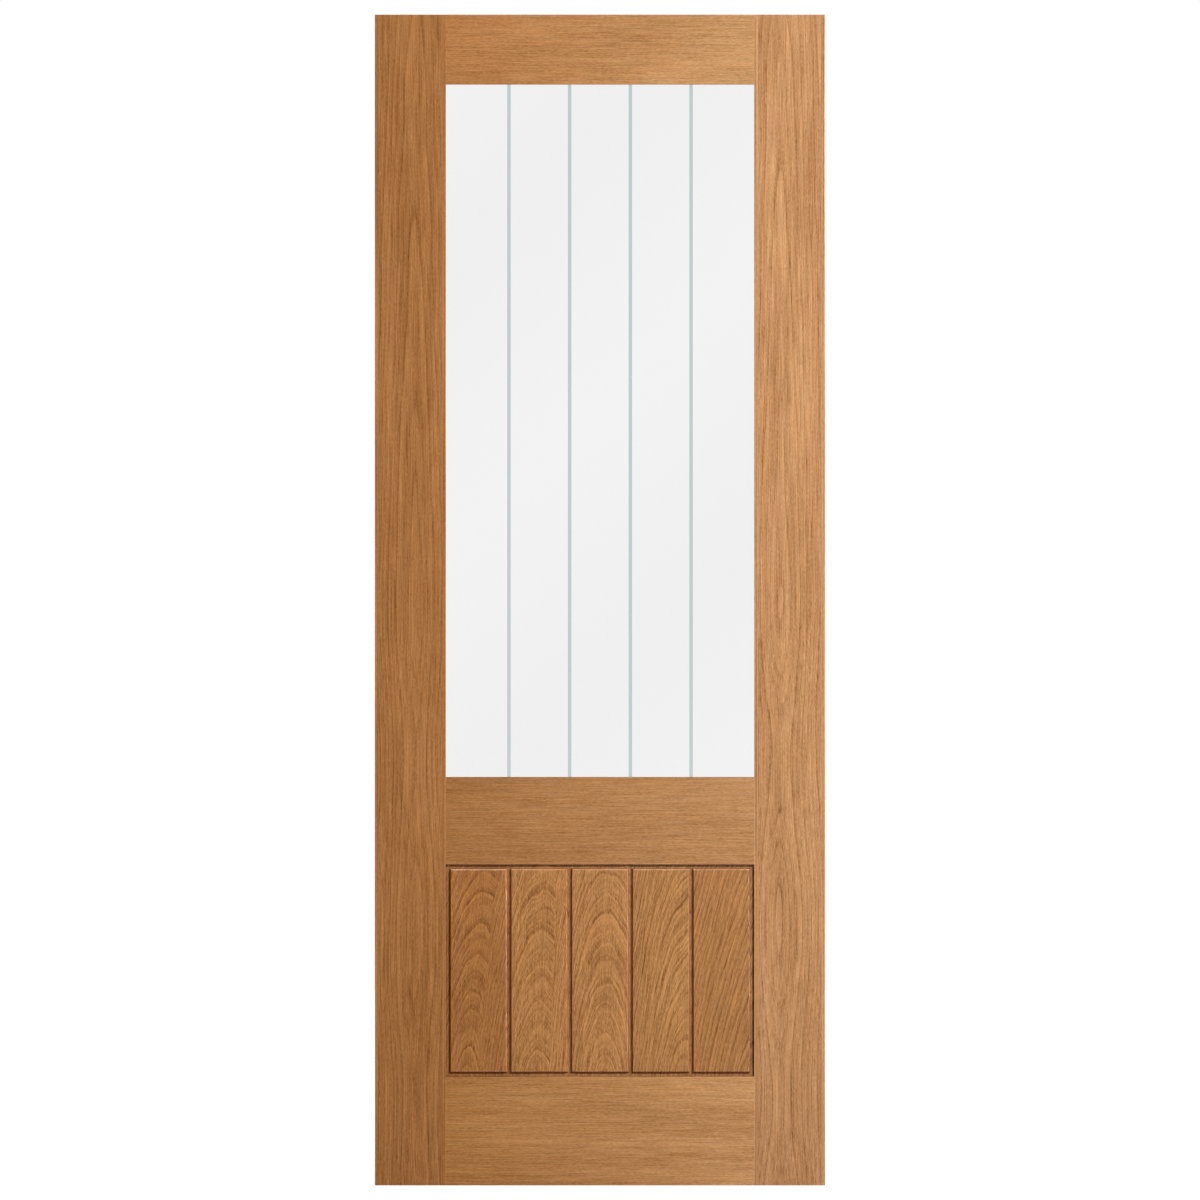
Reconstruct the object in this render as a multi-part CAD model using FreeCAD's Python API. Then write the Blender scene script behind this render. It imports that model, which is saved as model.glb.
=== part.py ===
# Half glazed oak door leaf, built up as engineered joinery.
# Each stile and rail is a stave core with solid oak edge lippings and thin oak face veneers.
# The stiles' lippings run through to both faces, and the rails' veneers cover their lippings.
# The upper opening holds a cut glass pane in a rebate, closed by mitred beads on the back.
# The lower opening holds tongued boards, flush with the frame, whose bevelled edges leave a channel
# round each board.
#
# Millimetres, +Z up. X runs from the hinge edge to the lock edge and Y from the front to the back.
# The origin is on the hinge edge, at the foot of the leaf and halfway through its thickness.

import FreeCAD, Part
import os

V = FreeCAD.Vector

# Leaf
LEAF_WIDTH = 762.0
LEAF_HEIGHT = 1981.0
LEAF_THICKNESS = 35.0

# Framing members
STILE_WIDTH = 120.0
TOP_RAIL_HEIGHT = 118.0
MIDDLE_RAIL_HEIGHT = 148.0
BOTTOM_RAIL_HEIGHT = 184.0
STILE_LIPPING = 6.0
RAIL_LIPPING_BACKING = 2.0
VENEER = 0.6
ARRIS_RADIUS = 1.0

# Panel opening, with the boards that fill it
PANEL_HEIGHT = 359.0
BOARD_COUNT = 5
BEVEL_WIDTH = 2.4
BEVEL_DEPTH = 5.5
JOINT_FLOOR = 4.6
MARGIN_FLOOR = 6.4
TONGUE_THICKNESS = 9.0
TONGUE_CLEARANCE = 0.3
BUTT_GAP = 0.3
GROOVE_DEPTH = 9.0
TONGUE_END_ROOM = 0.7

# Glazing
GLASS_THICKNESS = 4.0
GLASS_EDGE_ROOM = 2.0
REBATE_DEPTH = 10.0
BEAD_GAP = 0.3
BEAD_ARRIS = 1.2
CUT_LINE_WIDTH = 6.0
CUT_LINE_DEPTH = 0.8

# Places worked out from the sizes above
FRONT = -LEAF_THICKNESS / 2
BACK = LEAF_THICKNESS / 2
CORE_FRONT = FRONT + VENEER
CORE_BACK = BACK - VENEER
RAIL_LIPPING = max(REBATE_DEPTH, GROOVE_DEPTH) + RAIL_LIPPING_BACKING
OPENING_LEFT = STILE_WIDTH
OPENING_RIGHT = LEAF_WIDTH - STILE_WIDTH
PANEL_FOOT = BOTTOM_RAIL_HEIGHT
PANEL_HEAD = PANEL_FOOT + PANEL_HEIGHT
GLASS_FOOT = PANEL_HEAD + MIDDLE_RAIL_HEIGHT
GLASS_HEAD = LEAF_HEIGHT - TOP_RAIL_HEIGHT
GLASS_FRONT = -GLASS_THICKNESS / 2
GLASS_BACK = GLASS_THICKNESS / 2
BOARD_FACE = LEAF_THICKNESS / 2
BOARD_LEDGE = BOARD_FACE - BEVEL_DEPTH
BOARD_PITCH = (OPENING_RIGHT - OPENING_LEFT - 2 * MARGIN_FLOOR + JOINT_FLOOR) / BOARD_COUNT
BOARD_FIELD = BOARD_PITCH - JOINT_FLOOR
TONGUE_LENGTH = GROOVE_DEPTH + BUTT_GAP - TONGUE_END_ROOM
JOINT_CENTRES = [
    OPENING_LEFT + MARGIN_FLOOR - JOINT_FLOOR / 2 + joint * BOARD_PITCH
    for joint in range(1, BOARD_COUNT)
]


def block(x, y, z):
    """A box between the low and high values of x, y and z."""
    return Part.makeBox(x[1] - x[0], y[1] - y[0], z[1] - z[0], V(x[0], y[0], z[0]))


def prism(points, travel):
    """A closed outline of corner points, pushed along the vector travel."""
    return Part.Face(Part.makePolygon([*points, points[0]])).extrude(travel)


def glass_rebate():
    """The space for the pane and its beads, open to the back, reaching round the glazed opening."""
    return block(
        (OPENING_LEFT - REBATE_DEPTH, OPENING_RIGHT + REBATE_DEPTH),
        (GLASS_FRONT, BACK),
        (GLASS_FOOT - REBATE_DEPTH, GLASS_HEAD + REBATE_DEPTH),
    )


def panel_groove():
    """The slot that the boards' tongues stand in, reaching round the panel opening."""
    half_width = TONGUE_THICKNESS / 2 + TONGUE_CLEARANCE
    return block(
        (OPENING_LEFT - GROOVE_DEPTH, OPENING_RIGHT + GROOVE_DEPTH),
        (-half_width, half_width),
        (PANEL_FOOT - GROOVE_DEPTH, PANEL_HEAD + GROOVE_DEPTH),
    )


def eased(lipping, outer_x):
    """A stile's outer lipping with its two long arrises on the leaf's edge rounded over."""
    arrises = [
        edge
        for edge in lipping.Edges
        if all(abs(corner.X - outer_x) < 1e-6 for corner in edge.Vertexes)
        and abs(edge.Length - LEAF_HEIGHT) < 1e-6
    ]
    return lipping.makeFillet(ARRIS_RADIUS, arrises)


def stile(name, outer_x, inward):
    """One stile's pieces. inward is 1 where the stile runs towards +X from its outer edge, or -1."""

    def across(near, far):
        return sorted((outer_x + inward * near, outer_x + inward * far))

    height = (0, LEAF_HEIGHT)
    through = (FRONT, BACK)
    inner_edge = across(STILE_WIDTH - STILE_LIPPING, STILE_WIDTH)
    field = across(STILE_LIPPING, STILE_WIDTH - STILE_LIPPING)
    pieces = {
        "outer_lipping": eased(block(across(0, STILE_LIPPING), through, height), outer_x),
        "inner_lipping": block(inner_edge, through, height),
        "core": block(field, (CORE_FRONT, CORE_BACK), height),
        "front_veneer": block(field, (FRONT, CORE_FRONT), height),
        "back_veneer": block(field, (CORE_BACK, BACK), height),
    }
    for piece in ("inner_lipping", "core", "back_veneer"):
        pieces[piece] = pieces[piece].cut(glass_rebate())
    for piece in ("inner_lipping", "core"):
        pieces[piece] = pieces[piece].cut(panel_groove())
    return {f"{name}_{piece}": shape for piece, shape in pieces.items()}


def rail(name, foot, head, edge_cuts):
    """One rail's pieces between two heights, less what edge_cuts take from its long edges."""
    length = (OPENING_LEFT, OPENING_RIGHT)
    under_veneer = (CORE_FRONT, CORE_BACK)
    pieces = {
        "upper_lipping": block(length, under_veneer, (head - RAIL_LIPPING, head)),
        "lower_lipping": block(length, under_veneer, (foot, foot + RAIL_LIPPING)),
        "core": block(length, under_veneer, (foot + RAIL_LIPPING, head - RAIL_LIPPING)),
        "front_veneer": block(length, (FRONT, CORE_FRONT), (foot, head)),
        "back_veneer": block(length, (CORE_BACK, BACK), (foot, head)),
    }
    for edge_cut in edge_cuts:
        pieces = {piece: shape.cut(edge_cut) for piece, shape in pieces.items()}
    return {f"{name}_{piece}": shape for piece, shape in pieces.items()}


def board_plan(field, body, left_tongued):
    """A board's outline seen from above. field is the x range of the bevels' foot, and body that
    of the butting edges. The right edge is tongued, and so is the left edge where it meets the
    frame. Elsewhere the left edge is grooved for its neighbour's tongue."""
    half_tongue = TONGUE_THICKNESS / 2
    left_end = body[0] - TONGUE_LENGTH
    left_half = half_tongue
    if not left_tongued:
        left_end = body[0] + TONGUE_LENGTH + TONGUE_END_ROOM
        left_half = half_tongue + TONGUE_CLEARANCE
    right_end = body[1] + TONGUE_LENGTH
    front_half = [
        (left_end, -left_half),
        (body[0], -left_half),
        (body[0], -BOARD_LEDGE),
        (field[0], -BOARD_LEDGE),
        (field[0] + BEVEL_WIDTH, -BOARD_FACE),
        (field[1] - BEVEL_WIDTH, -BOARD_FACE),
        (field[1], -BOARD_LEDGE),
        (body[1], -BOARD_LEDGE),
        (body[1], -half_tongue),
        (right_end, -half_tongue),
    ]
    back_half = [(x, -y) for x, y in reversed(front_half)]
    return [V(x, y, 0) for x, y in front_half + back_half]


def board_section():
    """A board's outline seen along X: bevelled ends, with a tongue into each rail."""
    half_tongue = TONGUE_THICKNESS / 2
    foot = PANEL_FOOT + BUTT_GAP
    head = PANEL_HEAD - BUTT_GAP
    front_half = [
        (-half_tongue, foot - TONGUE_LENGTH),
        (-half_tongue, foot),
        (-BOARD_LEDGE, foot),
        (-BOARD_LEDGE, PANEL_FOOT + MARGIN_FLOOR),
        (-BOARD_FACE, PANEL_FOOT + MARGIN_FLOOR + BEVEL_WIDTH),
        (-BOARD_FACE, PANEL_HEAD - MARGIN_FLOOR - BEVEL_WIDTH),
        (-BOARD_LEDGE, PANEL_HEAD - MARGIN_FLOOR),
        (-BOARD_LEDGE, head),
        (-half_tongue, head),
        (-half_tongue, head + TONGUE_LENGTH),
    ]
    back_half = [(-y, z) for y, z in reversed(front_half)]
    return [V(0, y, z) for y, z in front_half + back_half]


def panel_boards():
    """The boards, each the part that its plan and its end section have in common."""
    ends = prism(board_section(), V(LEAF_WIDTH, 0, 0))
    first_field = OPENING_LEFT + MARGIN_FLOOR
    edges = [OPENING_LEFT + BUTT_GAP / 2, *JOINT_CENTRES, OPENING_RIGHT - BUTT_GAP / 2]
    boards = {}
    for place in range(BOARD_COUNT):
        field_left = first_field + place * BOARD_PITCH
        field = (field_left, field_left + BOARD_FIELD)
        body = (edges[place] + BUTT_GAP / 2, edges[place + 1] - BUTT_GAP / 2)
        sides = prism(board_plan(field, body, place == 0), V(0, 0, LEAF_HEIGHT))
        boards[f"panel_board_{place + 1}"] = sides.common(ends)
    return boards


def glass_pane():
    """The pane, with a shallow round-bottomed line cut in its front over each joint of the boards."""
    reach = REBATE_DEPTH - GLASS_EDGE_ROOM
    foot = GLASS_FOOT - reach
    head = GLASS_HEAD + reach
    pane = block(
        (OPENING_LEFT - reach, OPENING_RIGHT + reach),
        (GLASS_FRONT, GLASS_BACK),
        (foot, head),
    )
    wheel_radius = (CUT_LINE_WIDTH**2 / 4 + CUT_LINE_DEPTH**2) / (2 * CUT_LINE_DEPTH)
    wheel_y = GLASS_FRONT + CUT_LINE_DEPTH - wheel_radius
    for x in JOINT_CENTRES:
        pane = pane.cut(Part.makeCylinder(wheel_radius, head - foot, V(x, wheel_y, foot)))
    return pane


def glazing_beads():
    """Four beads, mitred from one rounded-off frame that fills the rebate behind the glass."""
    outer = REBATE_DEPTH - BEAD_GAP
    left, right = OPENING_LEFT, OPENING_RIGHT
    foot, head = GLASS_FOOT, GLASS_HEAD
    depth = (GLASS_BACK, BACK)
    whole = block((left - outer, right + outer), depth, (foot - outer, head + outer))
    frame = whole.cut(block((left, right), depth, (foot, head)))
    sight_edges = [
        edge
        for edge in frame.Edges
        if all(
            abs(corner.Y - BACK) < 1e-6
            and left - 1e-6 < corner.X < right + 1e-6
            and foot - 1e-6 < corner.Z < head + 1e-6
            for corner in edge.Vertexes
        )
    ]
    frame = frame.makeChamfer(BEAD_ARRIS, sight_edges)
    inner_corners = [(left, foot), (right, foot), (right, head), (left, head)]
    outer_corners = [
        (left - outer, foot - outer),
        (right + outer, foot - outer),
        (right + outer, head + outer),
        (left - outer, head + outer),
    ]
    beads = {}
    for side, name in enumerate(("bottom", "lock_side", "top", "hinge_side")):
        following = (side + 1) % 4
        mitred = [
            outer_corners[side],
            outer_corners[following],
            inner_corners[following],
            inner_corners[side],
        ]
        limits = prism([V(x, GLASS_BACK, z) for x, z in mitred], V(0, BACK - GLASS_BACK, 0))
        beads[f"glazing_bead_{name}"] = frame.common(limits)
    return beads


def door_leaf():
    """Every piece of the leaf, by name."""
    rebate = glass_rebate()
    groove = panel_groove()
    return {
        **stile("hinge_stile", 0, 1),
        **stile("lock_stile", LEAF_WIDTH, -1),
        **rail("top_rail", GLASS_HEAD, LEAF_HEIGHT, [rebate]),
        **rail("middle_rail", PANEL_HEAD, GLASS_FOOT, [rebate, groove]),
        **rail("bottom_rail", 0, PANEL_FOOT, [groove]),
        "glass_pane": glass_pane(),
        **glazing_beads(),
        **panel_boards(),
    }


os.makedirs("parts", exist_ok=True)
for node, shape in door_leaf().items():
    shape.exportStep(f"parts/{node}.step")
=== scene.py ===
# Looks of the half glazed oak door leaf: satin oak, clear glass with cut lines, and a white studio.

import math

import bpy
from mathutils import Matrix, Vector


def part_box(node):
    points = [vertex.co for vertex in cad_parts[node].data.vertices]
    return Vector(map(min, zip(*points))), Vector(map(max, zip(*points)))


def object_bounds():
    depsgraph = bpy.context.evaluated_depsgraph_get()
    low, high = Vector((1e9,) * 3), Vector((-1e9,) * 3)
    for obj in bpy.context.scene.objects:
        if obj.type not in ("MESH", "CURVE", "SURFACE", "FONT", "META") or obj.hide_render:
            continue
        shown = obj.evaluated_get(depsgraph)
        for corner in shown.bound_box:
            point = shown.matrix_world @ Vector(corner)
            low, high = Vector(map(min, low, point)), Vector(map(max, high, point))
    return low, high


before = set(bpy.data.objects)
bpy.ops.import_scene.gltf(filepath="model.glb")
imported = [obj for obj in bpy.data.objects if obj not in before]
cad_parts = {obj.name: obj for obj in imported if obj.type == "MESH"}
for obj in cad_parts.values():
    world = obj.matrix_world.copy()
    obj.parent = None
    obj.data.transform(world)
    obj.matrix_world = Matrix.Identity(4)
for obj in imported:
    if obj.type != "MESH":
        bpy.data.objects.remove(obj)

CAD_LOW, CAD_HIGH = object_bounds()
CENTRE = (CAD_LOW + CAD_HIGH) / 2
MM = 0.001
TURN = 2 * math.pi

# The photo's frame: the leaf's width in its pixels gives the width that the picture covers
PICTURE_PIXELS = 1200
LEAF_PIXELS = 450.2
PICTURE_WIDTH = (CAD_HIGH.x - CAD_LOW.x) * PICTURE_PIXELS / LEAF_PIXELS
CAMERA_DISTANCE = 60.0

# Studio: how strongly the white surroundings light from the front and from behind, and how far backward a
# direction points where that changes. Then each lamp's place and aim from the leaf's centre, its width and
# height, and its power. Cards show only as sheen on the boards.
FRONT_FILL = 0.10
BACK_FILL = 1.25
FILL_CHANGES = (-0.1, 0.3)
LAMPS = {
    "key": (Vector((2.35, -3.5, 2.18)), Vector((1.5, -2.2, -1.03)), (0.6, 0.6), 285),
    "side_card": (Vector((1.0, -1.1, 0.2)), Vector((0.3, 0, 0)), (0.7, 2.4), 540),
    "top_card": (Vector((0, -1.1, 0.45)), Vector((0, 0, -0.6)), (1.4, 0.5), 48),
}
WHITE = (1, 1, 1, 1)

# Floor: its glow is white from FLOOR_WHITE metres out, and FLOOR_GLOW of that within FLOOR_NEAR
FLOOR_RADIUS = 30.0
FLOOR_CORNERS = 96
FLOOR_GAP = 0.5 * MM
FLOOR_COLOUR = (0.3, 0.3, 0.3, 1)
FLOOR_GLOW = 0.84
FLOOR_NEAR = 1.5
FLOOR_WHITE = 5.0

BOARDS = [f"panel_board_{place}" for place in range(1, 6)]
BEADS = [f"glazing_bead_{side}" for side in ("bottom", "lock_side", "top", "hinge_side")]

# Edges eased by sanding
EASING = 0.25 * MM
BOARD_EASING = 0.6 * MM
EASING_ANGLE = math.radians(35)
WELD_DISTANCE = 0.01 * MM

# Oak: how far its light and dark stretches depart from the mean colour, and how far cool from warm ones
LIGHT_SHARE = (1.60, 1.75, 2.3)
DARK_SHARE = (0.42, 0.29, 0.10)
COOL_TINT = (0.985, 1.005, 1.03, 1)
WARM_TINT = (1.015, 0.995, 0.97, 1)
WARMTH_RANGE = 0.2

# Oak: the strength of each kind of mark on a piece that doesn't say otherwise. Taper is how fast the heart
# line draws away from the face, Ring the width of a year, Loose how freely the rings wander, Point the shape
# of the arches (2 is round), Fade how fast a ring's dark edge pales, Figure the contrast of the rings, and
# Stroke the length of the hairs.
PLAIN_OAK = {
    "Taper": 0.0,
    "Ring": 4.0 * MM,
    "Loose": 1.0,
    "Point": 1.6,
    "Fade": 1.7,
    "Figure": 0.2,
    "Stripe": 0.45,
    "Lines": 0.05,
    "Hair": 0.72,
    "Stroke": 300 * MM,
    "Dash": 0.42,
}
CLOUD = 0.34

# Oak: each noise's lumps, across and along the grain in millimetres, and its detail
LUMPS = {
    "sway": (60, 400, 2.0),
    "loose_sway": (30, 240, 2.0),
    "drift": (70, 240, 1.0),
    "jag": (2, 16, 1.0),
    "wander": (16, 45, 1.0),
    "dash": (1, 5, 0.0),
    "stripe": (11, 600, 2.0),
    "cloud": (90, 330, 2.0),
    "warmth": (8, 70, 2.0),
}
LINE_LUMPS = (0.6 * MM, 50 * MM)
HAIR_WIDTH = 1.0 * MM

# Oak: how far those noises bend the rings
SWAY = 20 * MM
LOOSE_SWAY = 8 * MM
DRIFT = 8 * MM
JAG = 0.7 * MM
WANDER = 3 * MM
POINT_WIDTH = 25 * MM
WAVE_LENGTH = 565 * MM

# Oak: how much the years differ in width, and how bold their early wood is. A rate is the number of changes
# to a year. The dark edge sets in over EDGE_SHARE of a year, which takes EDGE_LOSS off its mean.
UNEVEN_RATE = 0.55
UNEVEN_YEARS = 1.5
BOLD_RATE = 0.8
BOLD_ROW = 7.0
BOLD_CHANCE = (0.35, 0.65)
FAINT = 0.25
EDGE_SHARE = 0.1
EDGE_LOSS = 0.03

# Oak: lines show most on the flanks of the arches. Pores are the darkest dashes, and are sunk and rougher.
FLANK = (2 * MM, 18 * MM)
CROWN_LINES = 0.3
LATE_DASH = 0.85
EARLY_DASH = 0.3
PORE_DASH = (0.05, 0.2)
ROUGHNESS = 0.48
HAIR_ROUGHNESS = 0.2
PORE_ROUGHNESS = 0.12
RELIEF_STRENGTH = 0.3
RELIEF_DEPTH = 0.15 * MM
HAIR_RELIEF = 0.6

# Oak: straight grain for narrow strips, and the heights, in millimetres, at which the hearts of veneers and
# boards are measured. Above its height the heart of a veneer draws away by VENEER_RISE of the way up.
STRAIGHT = {"ring": 3 * MM, "figure": 0.12}
BEAD_COLOUR = (168, 112, 58)
VENEER_HEIGHT = 1000
VENEER_RISE = 0.018
BOARD_HEIGHT = 184

# Oak: what sets its pieces apart
SEED_STEP = (1.31, 2.17, 3.53)
STAVE_WIDTH = 27 * MM
STAVE_SHIFT = (0.12, 0.10, 0.9)

# Oak: end grain, arrises, and painted shade in the boards' bevels and channel floors. The first two are told
# by how squarely the surface faces along the grain, or the front or back.
END_GRAIN_TINT = (0.72, 0.66, 0.6, 1.0)
END_GRAIN_FACING = (0.85, 0.95)
# A painted highlight: arrises are lighter and whiter all round, besides their real gloss
ARRIS_PAINTED_HIGHLIGHT = (1.32, 1.32, 1.36, 1.0)
ARRIS_DEPTH = 1.5 * MM
ARRIS_BEGINS = (0.45, 0.6)
ARRIS_ENDS = (0.985, 0.998)
ARRIS_GLOSS = 0.95
ARRIS_SMOOTHNESS = 0.12
FACE_GLOSS = 0.02
BEVEL_FOOT = 12 * MM
# Painted shade in the boards' channels: darker and redder down the bevels towards the floor, lighter and
# greyer again on the floor
CHANNEL_PAINTED_SHADE = (0.76, 0.61, 0.42, 1.0)
CHANNEL_SHADE_MARGIN = 1.0 * MM
CHANNEL_FLOOR_SHADE_TINT = (1.08, 1.4, 2.35, 1.0)
CHANNEL_FLOOR = (BEVEL_FOOT + 0.2 * MM, BEVEL_FOOT + 0.6 * MM)

# Glass: the cut lines stand over the joints of the boards, each half a gap before the next board's edge
HALF_JOINT = 0.15 * MM
CUT_LINES = [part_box(node)[0].x - HALF_JOINT for node in BOARDS[1:]]
CUT_LINE_WIDTH = 6 * MM
CUT_LINE_BLUR = 0.2 * MM
CUT_FACE = -1.0 * MM
FROST_COLOUR = (0.33, 0.42, 0.42, 1)
FROST_SCALE = (900, 900, 300)
FROST_ROUGHNESS = 0.35
FROST_UNEVENNESS = 0.2
GLASS_IOR = 1.5
FROST_IOR = 1.08
# Glass: a painted reflection, faint slanting bands between a dim and a bright clear colour
GLASS_DIM = (0.86, 0.863, 0.86, 1)
GLASS_BRIGHT = (0.89, 0.89, 0.89, 1)
SHEEN_SLOPE = 0.9
SHEEN_PEAK = 0.98
SHEEN_LENGTH = 0.95


def linear(red, green, blue):
    """A colour given as screen values from 0 to 255, as the linear values that nodes take."""

    def channel(value):
        share = value / 255
        return share / 12.92 if share <= 0.04045 else ((share + 0.055) / 1.055) ** 2.4

    return (channel(red), channel(green), channel(blue), 1.0)


def tinted(colour, shares):
    """A linear colour with each channel multiplied by its share."""
    return (*(value * share for value, share in zip(colour, shares)), 1.0)


class Graph:
    """Adds nodes to a tree. Every input may be a number, a tuple or another node's output."""

    def __init__(self, tree):
        self.tree = tree

    def plug(self, socket, value):
        if isinstance(value, bpy.types.NodeSocket):
            self.tree.links.new(value, socket)
        else:
            socket.default_value = value

    def add(self, kind, inputs=None, **settings):
        node = self.tree.nodes.new(kind)
        for name, value in settings.items():
            setattr(node, name, value)
        for name, value in (inputs or {}).items():
            self.plug(node.inputs[name], value)
        return node

    def work_out(self, kind, values, **settings):
        node = self.add(kind, **settings)
        for socket, value in zip(node.inputs, values):
            self.plug(socket, value)
        return node

    def math(self, operation, *values, clamp=False):
        return self.work_out("ShaderNodeMath", values, operation=operation, use_clamp=clamp).outputs[0]

    def vector(self, operation, *values):
        return self.work_out("ShaderNodeVectorMath", values, operation=operation).outputs[0]

    def length(self, vector):
        return self.work_out("ShaderNodeVectorMath", (vector,), operation="LENGTH").outputs["Value"]

    def split(self, vector):
        return self.add("ShaderNodeSeparateXYZ", {"Vector": vector}).outputs

    def join(self, x, y, z):
        return self.add("ShaderNodeCombineXYZ", {"X": x, "Y": y, "Z": z}).outputs[0]

    def noise(self, vector, detail=2.0):
        """Noise round 0.5, with one lump to each unit of vector."""
        inputs = {"Vector": vector, "Scale": 1.0, "Detail": detail, "Roughness": 0.5}
        return self.add("ShaderNodeTexNoise", inputs).outputs["Fac"]

    def level_noise(self, vector, detail):
        """Noise round 0, with one lump to each unit of vector."""
        return self.math("SUBTRACT", self.noise(vector, detail), 0.5)

    def step(self, value, low, high, start=0.0, end=1.0):
        """A smooth step from start, where value is low, to end, where it is high."""
        inputs = {"Value": value, "From Min": low, "From Max": high, "To Min": start, "To Max": end}
        return self.add("ShaderNodeMapRange", inputs, interpolation_type="SMOOTHSTEP").outputs[0]

    def mix(self, share, first, second, blend="MIX"):
        node = self.add("ShaderNodeMix", data_type="RGBA", blend_type=blend)
        for index, value in ((0, share), (6, first), (7, second)):
            self.plug(node.inputs[index], value)
        return node.outputs[2]

    def tint(self, share, colour, shares):
        """A colour multiplied by shares, as far as share says."""
        return self.mix(share, colour, shares, "MULTIPLY")


def new_material(name):
    """An empty material, its graph, and the output's Surface socket to plug a shader into."""
    material = bpy.data.materials.new(name)
    material.use_nodes = True
    material.node_tree.nodes.clear()
    g = Graph(material.node_tree)
    return material, g, g.add("ShaderNodeOutputMaterial").inputs["Surface"]


def oak_sockets(tree):
    """Gives the oak group its inputs and outputs."""
    wanted = {
        "INPUT": {
            "Grain": "Vector",
            "Seed": "Vector",
            **{mark: "Float" for mark in PLAIN_OAK},
            "Light": "Color",
            "Dark": "Color",
        },
        "OUTPUT": {"Color": "Color", "Roughness": "Float", "Height": "Float"},
    }
    for side, sockets in wanted.items():
        for name, kind in sockets.items():
            tree.interface.new_socket(name, in_out=side, socket_type=f"NodeSocket{kind}")


def oak_group():
    """Oak as it grows: rings round a heart line, pores along the grain, fibre and soft stripes.

    Grain is the place seen from the heart: across it, through the thickness, along it, in metres."""
    tree = bpy.data.node_groups.new("oak_grain", "ShaderNodeTree")
    oak_sockets(tree)
    g = Graph(tree)
    given = g.add("NodeGroupInput").outputs
    across, depth, along = g.split(given["Grain"])
    place = g.vector("ADD", given["Grain"], given["Seed"])

    def lumps(kind):
        over_across, over_along, detail = LUMPS[kind]
        scale = (1 / (over_across * MM), 1 / (over_across * MM), 1 / (over_along * MM))
        return g.level_noise(g.vector("MULTIPLY", place, scale), detail)

    # Rings: the distance from a heart line that wanders, counted in years of uneven width
    sway = g.math("MULTIPLY", lumps("sway"), SWAY)
    sway = g.math("MULTIPLY_ADD", lumps("loose_sway"), g.math("MULTIPLY", given["Loose"], LOOSE_SWAY), sway)
    drift = g.math("MULTIPLY", lumps("drift"), g.math("MULTIPLY", given["Loose"], DRIFT))
    jag = g.math("MULTIPLY", lumps("jag"), g.math("MULTIPLY", given["Lines"], JAG))
    wander = g.math("MULTIPLY", lumps("wander"), g.math("MULTIPLY", given["Lines"], WANDER))
    side = g.math("ADD", across, sway)
    off_side = g.math("ABSOLUTE", side)
    inward = g.math("ADD", g.math("MULTIPLY_ADD", given["Taper"], along, depth), drift)
    pointed = g.math("POWER", g.math("DIVIDE", off_side, POINT_WIDTH), given["Point"])
    pointed = g.math("MULTIPLY", pointed, POINT_WIDTH ** 2)
    radius = g.math("SQRT", g.math("ADD", pointed, g.math("POWER", inward, 2.0)))
    radius = g.math("ADD", radius, wander)
    years = g.math("DIVIDE", g.math("ADD", radius, jag), given["Ring"])
    uneven = g.noise(g.join(g.math("MULTIPLY", years, UNEVEN_RATE), 0.0, 0.0))
    years = g.math("MULTIPLY_ADD", uneven, UNEVEN_YEARS, years)

    # Early wood: a sharp dark edge that fades through the year, bolder in some years, less its mean
    chance = g.noise(g.join(g.math("MULTIPLY", years, BOLD_RATE), BOLD_ROW, 0.0), 1.0)
    bold = g.step(chance, *BOLD_CHANCE, FAINT, 1.0)
    season = g.math("FRACT", years)
    fading = g.math("POWER", g.math("SUBTRACT", 1.0, season), given["Fade"])
    porous = g.math("MULTIPLY", g.step(season, 0.0, EDGE_SHARE), fading)
    mean = g.math("SUBTRACT", g.math("DIVIDE", 1.0, g.math("ADD", given["Fade"], 1.0)), EDGE_LOSS)
    early = g.math("MULTIPLY", g.math("SUBTRACT", porous, mean), bold)

    # Fine marks: lines that follow the rings on the arches' flanks, hairs, and the dashes of open pores
    over_radius, over_along = LINE_LUMPS
    course = g.join(g.math("DIVIDE", radius, over_radius), 0.0, g.math("DIVIDE", along, over_along))
    flank = g.step(off_side, *FLANK, CROWN_LINES, 1.0)
    lines = g.math("MULTIPLY", g.level_noise(g.vector("ADD", course, given["Seed"]), 0.0), flank)
    fibre = g.join(1 / HAIR_WIDTH, 1 / HAIR_WIDTH, g.math("DIVIDE", 1.0, given["Stroke"]))
    hair = g.level_noise(g.vector("MULTIPLY", place, fibre), 0.0)
    dash = g.math("MULTIPLY", lumps("dash"), g.math("MULTIPLY_ADD", porous, EARLY_DASH, LATE_DASH))
    pore = g.step(dash, *PORE_DASH)

    tone = g.math("MULTIPLY_ADD", early, given["Figure"], 0.5)
    tone = g.math("MULTIPLY_ADD", lumps("stripe"), given["Stripe"], tone)
    tone = g.math("MULTIPLY_ADD", lines, given["Lines"], tone)
    tone = g.math("MULTIPLY_ADD", hair, given["Hair"], tone)
    tone = g.math("MULTIPLY_ADD", dash, given["Dash"], tone)
    tone = g.math("MULTIPLY_ADD", lumps("cloud"), CLOUD, tone, clamp=True)
    warmth = g.step(lumps("warmth"), -WARMTH_RANGE, WARMTH_RANGE)
    rough = g.math("MULTIPLY_ADD", hair, HAIR_ROUGHNESS, ROUGHNESS)
    made = {
        "Color": g.tint(1.0, g.mix(tone, given["Light"], given["Dark"]), g.mix(warmth, COOL_TINT, WARM_TINT)),
        "Roughness": g.math("MULTIPLY_ADD", pore, PORE_ROUGHNESS, rough),
        "Height": g.math("SUBTRACT", g.math("MULTIPLY", hair, HAIR_RELIEF), pore),
    }
    g.add("NodeGroupOutput", made)
    return tree


OAK = oak_group()


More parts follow.
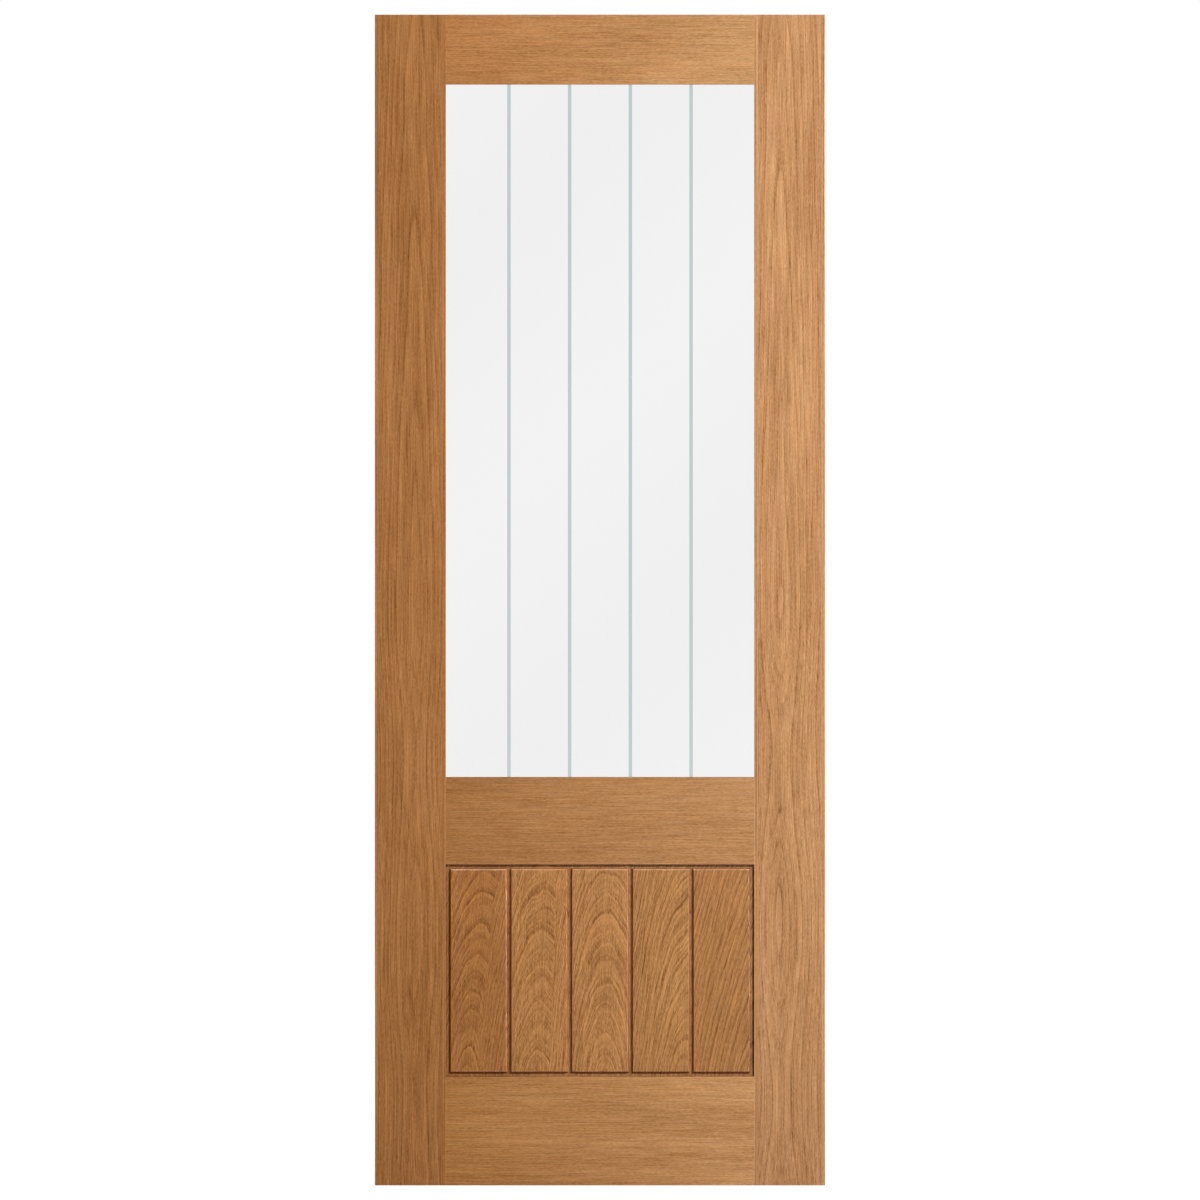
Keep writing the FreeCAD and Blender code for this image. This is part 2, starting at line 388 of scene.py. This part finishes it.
def grain_from_heart(g, across, depth, along, heart, lean, seam, wave, staves):
    """The place seen from the heart line, for the oak group. The arguments are those of oak."""
    across = g.math("SUBTRACT", across, heart[0] * MM)
    along = g.math("SUBTRACT", along, heart[2] * MM)
    if lean:
        across = g.math("MULTIPLY_ADD", along, -math.tan(math.radians(lean)), across)
    if seam:
        beyond = g.math("GREATER_THAN", across, seam[0] * MM)
        across = g.math("MULTIPLY_ADD", beyond, -seam[1] * MM, across)
    depth = g.math("ADD", depth, heart[1] * MM)
    if wave:
        below = g.math("MINIMUM", along, 0.0)
        swing = g.math("COSINE", g.math("MULTIPLY", below, TURN / WAVE_LENGTH))
        depth = g.math("MULTIPLY_ADD", swing, -wave[0] * MM, depth)
        depth = g.math("MULTIPLY_ADD", g.math("MAXIMUM", along, 0.0), wave[1], depth)
    grain = g.join(across, depth, along)
    if staves:
        strip = g.math("FLOOR", g.math("DIVIDE", across, staves))
        chance = g.add("ShaderNodeTexWhiteNoise", {"W": strip}, noise_dimensions="1D").outputs["Color"]
        grain = g.vector("MULTIPLY_ADD", chance, STAVE_SHIFT, grain)
    return grain


def oak(name, base, heart, upright=True, lean=0.0, seam=None, wave=None, staves=0.0, channels=False, **marks):
    """Satin oak of a mean colour. base may be two colours, for the two ends of the leaf's length or width
    that the grain runs along. heart is where the log's heart line runs, in millimetres: a place across the
    piece, how far it lies in front of the leaf's middle, and where along the grain that is measured.

    lean tips the grain, in degrees. seam is how far from the heart the figure gives way to that of a second
    heart, and how far away that one lies. wave is how far the heart line swings in and out below its place,
    and how fast it draws away above it. staves is the width of glued strips. channels paints shade onto the
    bevels and floors round a board. marks take the place of those in PLAIN_OAK."""
    material, g, surface = new_material(name)
    x, y, z = g.split(g.add("ShaderNodeTexCoord").outputs["Object"])
    across, along = (x, z) if upright else (z, x)
    reach = g.math("DIVIDE", along, CAD_HIGH.z if upright else CAD_HIGH.x, clamp=True)
    seed = len(bpy.data.materials)
    inputs = {
        "Grain": grain_from_heart(g, across, y, along, heart, lean, seam, wave, staves),
        "Seed": [seed * part for part in SEED_STEP],
        **PLAIN_OAK,
        **{mark.capitalize(): value for mark, value in marks.items()},
    }
    for key, shares in (("Light", LIGHT_SHARE), ("Dark", DARK_SHARE)):
        if isinstance(base[0], tuple):
            inputs[key] = g.mix(reach, *(tinted(linear(*end), shares) for end in base))
        else:
            inputs[key] = tinted(linear(*base), shares)
    wood = g.add("ShaderNodeGroup", node_tree=OAK)
    for key, value in inputs.items():
        g.plug(wood.inputs[key], value)

    normal = g.split(g.add("ShaderNodeNewGeometry").outputs["Normal"])
    forward = g.math("ABSOLUTE", normal[1])
    endways = g.math("ABSOLUTE", normal[2 if upright else 0])
    outward = g.math("ABSOLUTE", y)
    arris = g.math("MULTIPLY", g.step(forward, *ARRIS_BEGINS), g.step(forward, *ARRIS_ENDS, 1.0, 0.0))
    arris = g.math("MULTIPLY", arris, g.math("GREATER_THAN", outward, CAD_HIGH.y - ARRIS_DEPTH))
    colour = g.tint(g.step(endways, *END_GRAIN_FACING), wood.outputs["Color"], END_GRAIN_TINT)
    # Painted highlight: the arrises are lighter and whiter on every side
    colour = g.tint(arris, colour, ARRIS_PAINTED_HIGHLIGHT)
    # Painted shade: the bevels round a board darken and redden towards the channel floor, and the floor is
    # lighter and greyer than their feet
    if channels:
        painted_shade = g.step(outward, BEVEL_FOOT + CHANNEL_SHADE_MARGIN, CAD_HIGH.y - CHANNEL_SHADE_MARGIN, 1.0, 0.0)
        colour = g.tint(painted_shade, colour, CHANNEL_PAINTED_SHADE)
        colour = g.tint(g.step(outward, *CHANNEL_FLOOR, 1.0, 0.0), colour, CHANNEL_FLOOR_SHADE_TINT)
    relief = {"Height": wood.outputs["Height"], "Strength": RELIEF_STRENGTH, "Distance": RELIEF_DEPTH}
    shader = g.add(
        "ShaderNodeBsdfPrincipled",
        {
            "Base Color": colour,
            "Roughness": g.math("MULTIPLY_ADD", arris, -ARRIS_SMOOTHNESS, wood.outputs["Roughness"]),
            "Specular IOR Level": g.math("MULTIPLY_ADD", arris, ARRIS_GLOSS, FACE_GLOSS),
            "Normal": g.add("ShaderNodeBump", relief).outputs["Normal"],
        },
    )
    g.plug(surface, shader.outputs["BSDF"])
    return material


def dress(node, material, easing=EASING):
    """Gives a node its material, and eases its edges by a hair as sanding does."""
    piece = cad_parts[node]
    piece.data.materials.clear()
    piece.data.materials.append(material)
    if easing:
        weld = piece.modifiers.new("weld", "WELD")
        weld.merge_threshold = WELD_DISTANCE
        bevel = piece.modifiers.new("easing", "BEVEL")
        bevel.width = easing
        bevel.segments = 2
        bevel.limit_method = "ANGLE"
        bevel.angle_limit = EASING_ANGLE
        bevel.harden_normals = True


def dress_stiles():
    """Veneers with tall narrow arches, whose heart is a few millimetres off the stile's middle."""
    # Painted light: the lock stile's colours are lighter and paler than the hinge stile's, standing in for
    # light and sheen from the right, and the outer lippings, given foot then top, are lighter at the foot
    # against the lamps' fall towards the bottom
    looks = {
        "hinge_stile": {
            "face": (169, 113, 60),
            "inner": ((172, 114, 59), (174, 116, 60)),
            "outer": ((177, 118, 62), (169, 112, 59)),
            "off_middle": 9,
            "swing": 3,
        },
        "lock_stile": {
            "face": (186, 135, 84),
            "inner": (188, 136, 85),
            "outer": ((196, 144, 90), (188, 138, 86)),
            "off_middle": -15,
            "swing": 5,
        },
    }
    arches = {"loose": 0.6, "fade": 2.6, "figure": 0.36, "hair": 0.6, "dash": 0.5}
    for stile, look in looks.items():
        low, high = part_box(f"{stile}_front_veneer")
        heart = (low.x + high.x) / 2 / MM + look["off_middle"]
        wave = (look["swing"], VENEER_RISE)
        for face in ("front_veneer", "back_veneer"):
            node = f"{stile}_{face}"
            dress(node, oak(node, look["face"], (heart, 55, VENEER_HEIGHT), wave=wave, **arches))
        for edge in ("outer", "inner"):
            node = f"{stile}_{edge}_lipping"
            dress(node, oak(node, look[edge], (heart - 150, 40, 0), **STRAIGHT))
        node = f"{stile}_core"
        dress(node, oak(node, look["face"], (heart, 50, 0), staves=STAVE_WIDTH))


def dress_rails():
    """Straight, quiet grain that runs across the leaf. Each rail pales towards the lock side: painted light
    and sheen from the right.
    """
    looks = {
        # Colours run from the hinge end to the lock end; the paler lock end is painted light and sheen from
        # the right
        "top_rail": {"ends": ((178, 117, 59), (194, 147, 93)), "stripe": 0.16},
        "middle_rail": {"ends": ((166, 111, 57), (189, 139, 87)), "stripe": 0.16},
        "bottom_rail": {"ends": ((170, 113, 54), (203, 151, 95)), "stripe": 0.34},
    }
    quiet = {"ring": 3 * MM, "figure": 0.06, "hair": 0.43, "stroke": 48 * MM, "dash": 0.44}
    for rail, look in looks.items():
        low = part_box(f"{rail}_core")[0]
        heart = (low.z / MM - 90, 90, 0)
        for piece in ("front_veneer", "back_veneer", "core", "upper_lipping", "lower_lipping"):
            node = f"{rail}_{piece}"
            dress(node, oak(node, look["ends"], heart, upright=False, stripe=look["stripe"], **quiet))


def dress_panel():
    """Solid boards with broad arches. off_edge is how far the heart lies from the board's hinge side edge,
    and front how far in front of the leaf's middle, in millimetres."""
    looks = (
        {"base": (165, 108, 52), "off_edge": 43.3, "front": 40, "lean": 5, "ring": 5.0, "figure": 0.48},
        {"base": (177, 121, 63), "off_edge": 47.99, "front": 50, "lean": 2, "ring": 6.5, "figure": 0.34},
        {"base": (176, 121, 64), "off_edge": 59.23, "front": 45, "lean": 1, "ring": 6.5, "figure": 0.34},
        {"base": (170, 117, 60), "off_edge": 88.47, "front": 44, "lean": 4, "ring": 6.0, "figure": 0.48},
        {"base": (162, 109, 54), "off_edge": 109.71, "front": 42, "lean": 9, "ring": 6.5, "figure": 0.60},
    )
    seams = {"panel_board_1": (19, 110), "panel_board_2": (20, 110)}
    shared = {
        "taper": 0.17,
        "loose": 0.1,
        "point": 2.0,
        "stripe": 0.1,
        "lines": 0.85,
        "hair": 0.42,
        "stroke": 60 * MM,
        "dash": 0.7,
    }
    for node, look in zip(BOARDS, looks):
        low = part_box(node)[0]
        material = oak(
            node,
            look["base"],
            (low.x / MM + look["off_edge"], look["front"], BOARD_HEIGHT),
            lean=look["lean"],
            seam=seams.get(node),
            channels=True,
            ring=look["ring"] * MM,
            figure=look["figure"],
            **shared,
        )
        dress(node, material, BOARD_EASING)


def dress_beads():
    """Straight grained strips, upright at the sides and level at the top and bottom."""
    for node in BEADS:
        upright = node.endswith("side")
        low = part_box(node)[0]
        across = (low.x if upright else low.z) / MM
        heart = (across - 60, 40, 0)
        dress(node, oak(node, BEAD_COLOUR, heart, upright, **STRAIGHT))


def glass():
    """Clear float glass with a faint slanting sheen painted into its colour as a painted reflection, and the
    cut lines left frosted.
    """
    material, g, surface = new_material("clear_glass")
    place = g.add("ShaderNodeTexCoord").outputs["Object"]
    x, y, z = g.split(place)
    # Painted reflection: faint slanting bands in the glass's colour
    slant = g.math("SUBTRACT", g.math("MULTIPLY_ADD", x, -SHEEN_SLOPE, z), SHEEN_PEAK)
    sheen = g.math("COSINE", g.math("MULTIPLY", slant, TURN / SHEEN_LENGTH))
    clear = g.mix(g.math("MULTIPLY_ADD", sheen, 0.5, 0.5), GLASS_DIM, GLASS_BRIGHT)
    lines = 0.0
    for line in CUT_LINES:
        off = g.math("ABSOLUTE", g.math("SUBTRACT", x, line))
        stroke = g.step(off, CUT_LINE_WIDTH / 2 - CUT_LINE_BLUR, CUT_LINE_WIDTH / 2, 1.0, 0.0)
        lines = g.math("MAXIMUM", lines, stroke)
    lines = g.math("MULTIPLY", lines, g.math("LESS_THAN", y, CUT_FACE))
    frost = g.noise(g.vector("MULTIPLY", place, FROST_SCALE))
    rough = g.math("MULTIPLY_ADD", frost, FROST_UNEVENNESS, FROST_ROUGHNESS)
    shader = g.add(
        "ShaderNodeBsdfPrincipled",
        {
            "Base Color": g.mix(lines, clear, FROST_COLOUR),
            "Roughness": g.math("MULTIPLY", lines, rough),
            "IOR": g.math("MULTIPLY_ADD", lines, FROST_IOR - GLASS_IOR, GLASS_IOR),
            "Transmission Weight": 1.0,
        },
    )
    g.plug(surface, shader.outputs["BSDF"])
    return material


def seen_directly(g):
    """1 for rays from the camera, or that a gloss or the glass sends on, and 0 for rays that only light."""
    ray = g.add("ShaderNodeLightPath").outputs
    through = g.math("MAXIMUM", ray["Is Glossy Ray"], ray["Is Transmission Ray"])
    return g.math("MAXIMUM", ray["Is Camera Ray"], through)


def add_lamp(name, place, aim, size, power):
    """An oblong soft lamp at a place from the leaf's centre, turned towards another such place."""
    data = bpy.data.lights.new(name, "AREA")
    data.shape = "RECTANGLE"
    data.size, data.size_y = size
    data.energy = power
    lamp = bpy.data.objects.new(name, data)
    lamp.location = CENTRE + place
    lamp.rotation_euler = (aim - place).to_track_quat("-Z", "Y").to_euler()
    lamp.visible_camera = False
    bpy.context.scene.collection.objects.link(lamp)
    return lamp


def light_studio():
    """White surroundings that light more from behind, a soft key from the upper right, and two cards."""
    world = bpy.data.worlds.new("studio")
    bpy.context.scene.world = world
    world.use_nodes = True
    world.node_tree.nodes.clear()
    g = Graph(world.node_tree)
    backward = g.split(g.add("ShaderNodeTexCoord").outputs["Generated"])[1]
    fill = g.step(backward, *FILL_CHANGES, FRONT_FILL, BACK_FILL)
    strength = g.math("MULTIPLY_ADD", seen_directly(g), g.math("SUBTRACT", 1.0, fill), fill)
    light = g.add("ShaderNodeBackground", {"Color": WHITE, "Strength": strength})
    g.plug(g.add("ShaderNodeOutputWorld").inputs["Surface"], light.outputs[0])
    boards = bpy.data.collections.new("boards")
    for node in BOARDS:
        boards.objects.link(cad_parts[node])
    for name, settings in LAMPS.items():
        lamp = add_lamp(name, *settings)
        if name.endswith("card"):
            lamp.visible_diffuse = False
            lamp.light_linking.receiver_collection = boards


def floor_material():
    """A matt grey that keeps the leaf's shadow, with a glow that makes it white where it is seen."""
    material, g, surface = new_material("floor")
    matt = g.add("ShaderNodeBsdfDiffuse", {"Color": FLOOR_COLOUR})
    away = g.length(g.add("ShaderNodeTexCoord").outputs["Object"])
    glow = g.step(away, FLOOR_NEAR, FLOOR_WHITE, FLOOR_GLOW, 1.0)
    strength = g.math("MULTIPLY", seen_directly(g), glow)
    white = g.add("ShaderNodeEmission", {"Color": WHITE, "Strength": strength})
    both = g.work_out("ShaderNodeAddShader", (matt.outputs[0], white.outputs[0]))
    g.plug(surface, both.outputs[0])
    return material


def lay_floor():
    """A round pale floor just under the leaf."""
    turns = [TURN * corner / FLOOR_CORNERS for corner in range(FLOOR_CORNERS)]
    rim = [(math.cos(turn) * FLOOR_RADIUS, math.sin(turn) * FLOOR_RADIUS, 0) for turn in turns]
    mesh = bpy.data.meshes.new("floor")
    mesh.from_pydata(rim, [], [range(FLOOR_CORNERS)])
    mesh.materials.append(floor_material())
    floor = bpy.data.objects.new("floor", mesh)
    floor.location = (CENTRE.x, CENTRE.y, CAD_LOW.z - FLOOR_GAP)
    bpy.context.scene.collection.objects.link(floor)


def place_camera():
    """Straight on from far away, so that the leaf shows as flat as in the photo."""
    data = bpy.data.cameras.new("camera")
    data.sensor_width = 36
    data.lens = data.sensor_width * CAMERA_DISTANCE / PICTURE_WIDTH
    data.clip_end = 2 * CAMERA_DISTANCE
    camera = bpy.data.objects.new("camera", data)
    camera.location = CENTRE - Vector((0, CAMERA_DISTANCE, 0))
    camera.rotation_euler = (math.pi / 2, 0, 0)
    bpy.context.scene.collection.objects.link(camera)
    bpy.context.scene.camera = camera


dress_stiles()
dress_rails()
dress_panel()
dress_beads()
dress("glass_pane", glass(), easing=0.0)
light_studio()
lay_floor()
place_camera()
bpy.context.scene.view_settings.view_transform = "Standard"
